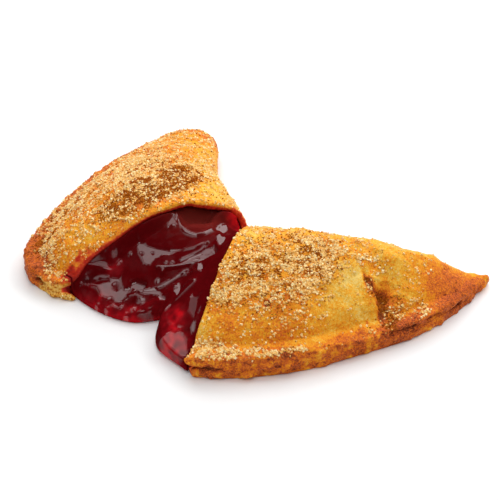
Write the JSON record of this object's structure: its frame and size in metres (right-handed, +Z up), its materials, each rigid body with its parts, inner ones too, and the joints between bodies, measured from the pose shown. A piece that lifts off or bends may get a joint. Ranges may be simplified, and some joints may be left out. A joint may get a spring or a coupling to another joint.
{
  "type": "sweet empanada",
  "caption": "Half-moon sweet empanada cut across the middle and opened like a V, its fried dough halves joined by glossy red jam.",
  "frame": {"origin": "middle of the whole's bounding box, on the table", "axes": "+X along the longest side, from the left half towards the right half's tip; +Z up from the table; +Y towards the folds, away from the open side of the V"},
  "size_m": [0.1452, 0.1336, 0.0257],
  "materials": {
    "crust_left": "golden fried dough dusted with cinnamon sugar",
    "crust_right": "golden fried dough dusted with cinnamon sugar",
    "filling": "glossy dark red jam"
  },
  "bodies": {
    "root": {"crust_left": "crust_left", "crust_right": "crust_right", "filling": "filling"}
  },
  "joints": []
}
